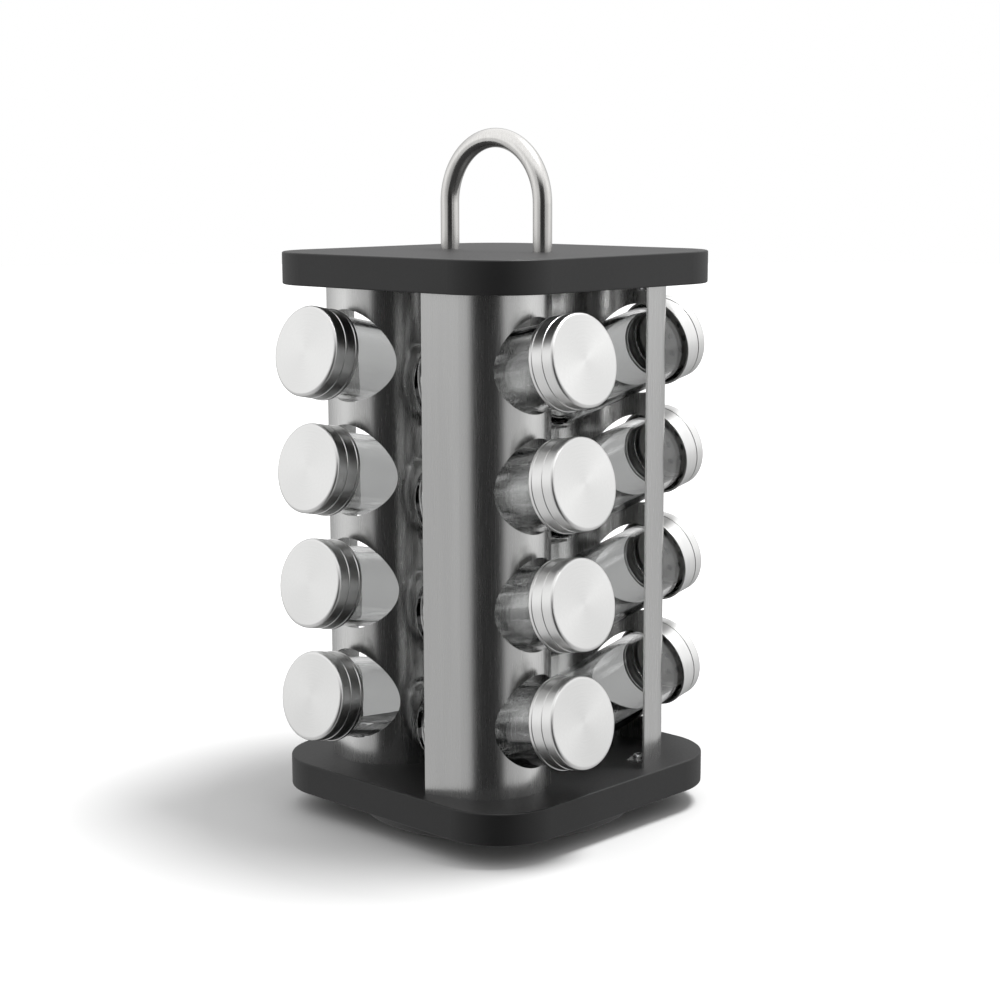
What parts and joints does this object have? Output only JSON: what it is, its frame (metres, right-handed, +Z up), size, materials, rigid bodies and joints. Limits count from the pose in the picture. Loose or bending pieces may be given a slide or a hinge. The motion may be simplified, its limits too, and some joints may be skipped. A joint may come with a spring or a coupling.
{
  "type": "revolving spice rack",
  "caption": "Square tower of bent steel panels on a turning foot, holding leaning lidded glass jars on every side, with a bent rod carry handle on its top board.",
  "frame": {"origin": "on the table under the centre of the foot, at the bottom of the rubber pads", "axes": "+Z up along the turning axis; -Y towards the front column's lids, +X towards the right column's lids; the carry handle lies along Y"},
  "size_m": [0.196, 0.196, 0.3457],
  "materials": {
    "black_board": "satin black lacquer over fibreboard",
    "brushed_sheet": "stainless sheet with a fine upright brushed grain",
    "polished_rod": "stainless rod, finely polished",
    "clear_glass": "clear pressed glass",
    "lid_metal": "stainless, spun finish on the face",
    "foot_plastic": "black moulded plastic",
    "foot_rubber": "black rubber",
    "bearing_steel": "zinc-plated pressed steel",
    "ball_steel": "hardened steel balls",
    "cage_plastic": "natural nylon",
    "zinc_steel": "bright zinc plate"
  },
  "bodies": {
    "foot": {"foot_disc": "foot_plastic", "foot_pads": "foot_rubber", "lower_race": "bearing_steel", "race_screws_lower": "zinc_steel"},
    "ball_ring": {"bearing_balls": "ball_steel", "ball_cage": "cage_plastic"},
    "tower": {"base_board": "black_board", "top_board": "black_board", "front_panel": "brushed_sheet", "right_panel": "brushed_sheet", "rear_panel": "brushed_sheet", "left_panel": "brushed_sheet", "carry_handle": "polished_rod", "handle_screws": "zinc_steel", "panel_screws_top": "zinc_steel", "panel_screws_base": "zinc_steel", "upper_race": "bearing_steel", "race_screws_upper": "zinc_steel", "pivot_bolt": "zinc_steel", "pivot_washer": "zinc_steel", "pivot_nut": "zinc_steel"},
    "jar_front_1": {"jar_glass_front_1": "clear_glass"},
    "lid_front_1": {"jar_lid_front_1": "lid_metal"},
    "jar_front_2": {"jar_glass_front_2": "clear_glass"},
    "lid_front_2": {"jar_lid_front_2": "lid_metal"},
    "jar_front_3": {"jar_glass_front_3": "clear_glass"},
    "lid_front_3": {"jar_lid_front_3": "lid_metal"},
    "jar_front_4": {"jar_glass_front_4": "clear_glass"},
    "lid_front_4": {"jar_lid_front_4": "lid_metal"},
    "jar_right_1": {"jar_glass_right_1": "clear_glass"},
    "lid_right_1": {"jar_lid_right_1": "lid_metal"},
    "jar_right_2": {"jar_glass_right_2": "clear_glass"},
    "lid_right_2": {"jar_lid_right_2": "lid_metal"},
    "jar_right_3": {"jar_glass_right_3": "clear_glass"},
    "lid_right_3": {"jar_lid_right_3": "lid_metal"},
    "jar_right_4": {"jar_glass_right_4": "clear_glass"},
    "lid_right_4": {"jar_lid_right_4": "lid_metal"},
    "jar_rear_1": {"jar_glass_rear_1": "clear_glass"},
    "lid_rear_1": {"jar_lid_rear_1": "lid_metal"},
    "jar_rear_2": {"jar_glass_rear_2": "clear_glass"},
    "lid_rear_2": {"jar_lid_rear_2": "lid_metal"},
    "jar_rear_3": {"jar_glass_rear_3": "clear_glass"},
    "lid_rear_3": {"jar_lid_rear_3": "lid_metal"},
    "jar_rear_4": {"jar_glass_rear_4": "clear_glass"},
    "lid_rear_4": {"jar_lid_rear_4": "lid_metal"},
    "jar_left_1": {"jar_glass_left_1": "clear_glass"},
    "lid_left_1": {"jar_lid_left_1": "lid_metal"},
    "jar_left_2": {"jar_glass_left_2": "clear_glass"},
    "lid_left_2": {"jar_lid_left_2": "lid_metal"},
    "jar_left_3": {"jar_glass_left_3": "clear_glass"},
    "lid_left_3": {"jar_lid_left_3": "lid_metal"},
    "jar_left_4": {"jar_glass_left_4": "clear_glass"},
    "lid_left_4": {"jar_lid_left_4": "lid_metal"}
  },
  "joints": [
    {"name": "carousel_spin", "type": "hinge", "parent": "foot", "child": "tower", "pos_m": [0, 0, 0.0115], "axis": [0, 0, 1], "continuous": true},
    {"name": "ball_ring_spin", "type": "hinge", "parent": "foot", "child": "ball_ring", "pos_m": [0, 0, 0.0075], "axis": [0, 0, 1], "continuous": true},
    {"name": "jar_front_1_pull", "type": "slide", "parent": "tower", "child": "jar_front_1", "axis": [0, -0.9799, 0.1994], "range_m": [0, 0.09]},
    {"name": "lid_front_1_off", "type": "slide", "parent": "jar_front_1", "child": "lid_front_1", "axis": [0, -0.9799, 0.1994], "range_m": [0, 0.03]},
    {"name": "jar_front_2_pull", "type": "slide", "parent": "tower", "child": "jar_front_2", "axis": [0, -0.9799, 0.1994], "range_m": [0, 0.09]},
    {"name": "lid_front_2_off", "type": "slide", "parent": "jar_front_2", "child": "lid_front_2", "axis": [0, -0.9799, 0.1994], "range_m": [0, 0.03]},
    {"name": "jar_front_3_pull", "type": "slide", "parent": "tower", "child": "jar_front_3", "axis": [0, -0.9799, 0.1994], "range_m": [0, 0.09]},
    {"name": "lid_front_3_off", "type": "slide", "parent": "jar_front_3", "child": "lid_front_3", "axis": [0, -0.9799, 0.1994], "range_m": [0, 0.03]},
    {"name": "jar_front_4_pull", "type": "slide", "parent": "tower", "child": "jar_front_4", "axis": [0, -0.9799, 0.1994], "range_m": [0, 0.09]},
    {"name": "lid_front_4_off", "type": "slide", "parent": "jar_front_4", "child": "lid_front_4", "axis": [0, -0.9799, 0.1994], "range_m": [0, 0.03]},
    {"name": "jar_right_1_pull", "type": "slide", "parent": "tower", "child": "jar_right_1", "axis": [0.9799, 0, 0.1994], "range_m": [0, 0.09]},
    {"name": "lid_right_1_off", "type": "slide", "parent": "jar_right_1", "child": "lid_right_1", "axis": [0.9799, 0, 0.1994], "range_m": [0, 0.03]},
    {"name": "jar_right_2_pull", "type": "slide", "parent": "tower", "child": "jar_right_2", "axis": [0.9799, 0, 0.1994], "range_m": [0, 0.09]},
    {"name": "lid_right_2_off", "type": "slide", "parent": "jar_right_2", "child": "lid_right_2", "axis": [0.9799, 0, 0.1994], "range_m": [0, 0.03]},
    {"name": "jar_right_3_pull", "type": "slide", "parent": "tower", "child": "jar_right_3", "axis": [0.9799, 0, 0.1994], "range_m": [0, 0.09]},
    {"name": "lid_right_3_off", "type": "slide", "parent": "jar_right_3", "child": "lid_right_3", "axis": [0.9799, 0, 0.1994], "range_m": [0, 0.03]},
    {"name": "jar_right_4_pull", "type": "slide", "parent": "tower", "child": "jar_right_4", "axis": [0.9799, 0, 0.1994], "range_m": [0, 0.09]},
    {"name": "lid_right_4_off", "type": "slide", "parent": "jar_right_4", "child": "lid_right_4", "axis": [0.9799, 0, 0.1994], "range_m": [0, 0.03]},
    {"name": "jar_rear_1_pull", "type": "slide", "parent": "tower", "child": "jar_rear_1", "axis": [0, 0.9799, 0.1994], "range_m": [0, 0.09]},
    {"name": "lid_rear_1_off", "type": "slide", "parent": "jar_rear_1", "child": "lid_rear_1", "axis": [0, 0.9799, 0.1994], "range_m": [0, 0.03]},
    {"name": "jar_rear_2_pull", "type": "slide", "parent": "tower", "child": "jar_rear_2", "axis": [0, 0.9799, 0.1994], "range_m": [0, 0.09]},
    {"name": "lid_rear_2_off", "type": "slide", "parent": "jar_rear_2", "child": "lid_rear_2", "axis": [0, 0.9799, 0.1994], "range_m": [0, 0.03]},
    {"name": "jar_rear_3_pull", "type": "slide", "parent": "tower", "child": "jar_rear_3", "axis": [0, 0.9799, 0.1994], "range_m": [0, 0.09]},
    {"name": "lid_rear_3_off", "type": "slide", "parent": "jar_rear_3", "child": "lid_rear_3", "axis": [0, 0.9799, 0.1994], "range_m": [0, 0.03]},
    {"name": "jar_rear_4_pull", "type": "slide", "parent": "tower", "child": "jar_rear_4", "axis": [0, 0.9799, 0.1994], "range_m": [0, 0.09]},
    {"name": "lid_rear_4_off", "type": "slide", "parent": "jar_rear_4", "child": "lid_rear_4", "axis": [0, 0.9799, 0.1994], "range_m": [0, 0.03]},
    {"name": "jar_left_1_pull", "type": "slide", "parent": "tower", "child": "jar_left_1", "axis": [-0.9799, 0, 0.1994], "range_m": [0, 0.09]},
    {"name": "lid_left_1_off", "type": "slide", "parent": "jar_left_1", "child": "lid_left_1", "axis": [-0.9799, 0, 0.1994], "range_m": [0, 0.03]},
    {"name": "jar_left_2_pull", "type": "slide", "parent": "tower", "child": "jar_left_2", "axis": [-0.9799, 0, 0.1994], "range_m": [0, 0.09]},
    {"name": "lid_left_2_off", "type": "slide", "parent": "jar_left_2", "child": "lid_left_2", "axis": [-0.9799, 0, 0.1994], "range_m": [0, 0.03]},
    {"name": "jar_left_3_pull", "type": "slide", "parent": "tower", "child": "jar_left_3", "axis": [-0.9799, 0, 0.1994], "range_m": [0, 0.09]},
    {"name": "lid_left_3_off", "type": "slide", "parent": "jar_left_3", "child": "lid_left_3", "axis": [-0.9799, 0, 0.1994], "range_m": [0, 0.03]},
    {"name": "jar_left_4_pull", "type": "slide", "parent": "tower", "child": "jar_left_4", "axis": [-0.9799, 0, 0.1994], "range_m": [0, 0.09]},
    {"name": "lid_left_4_off", "type": "slide", "parent": "jar_left_4", "child": "lid_left_4", "axis": [-0.9799, 0, 0.1994], "range_m": [0, 0.03]}
  ],
  "couplings": [
    {"joint": "ball_ring_spin", "follows": "carousel_spin", "ratio": 0.5}
  ]
}
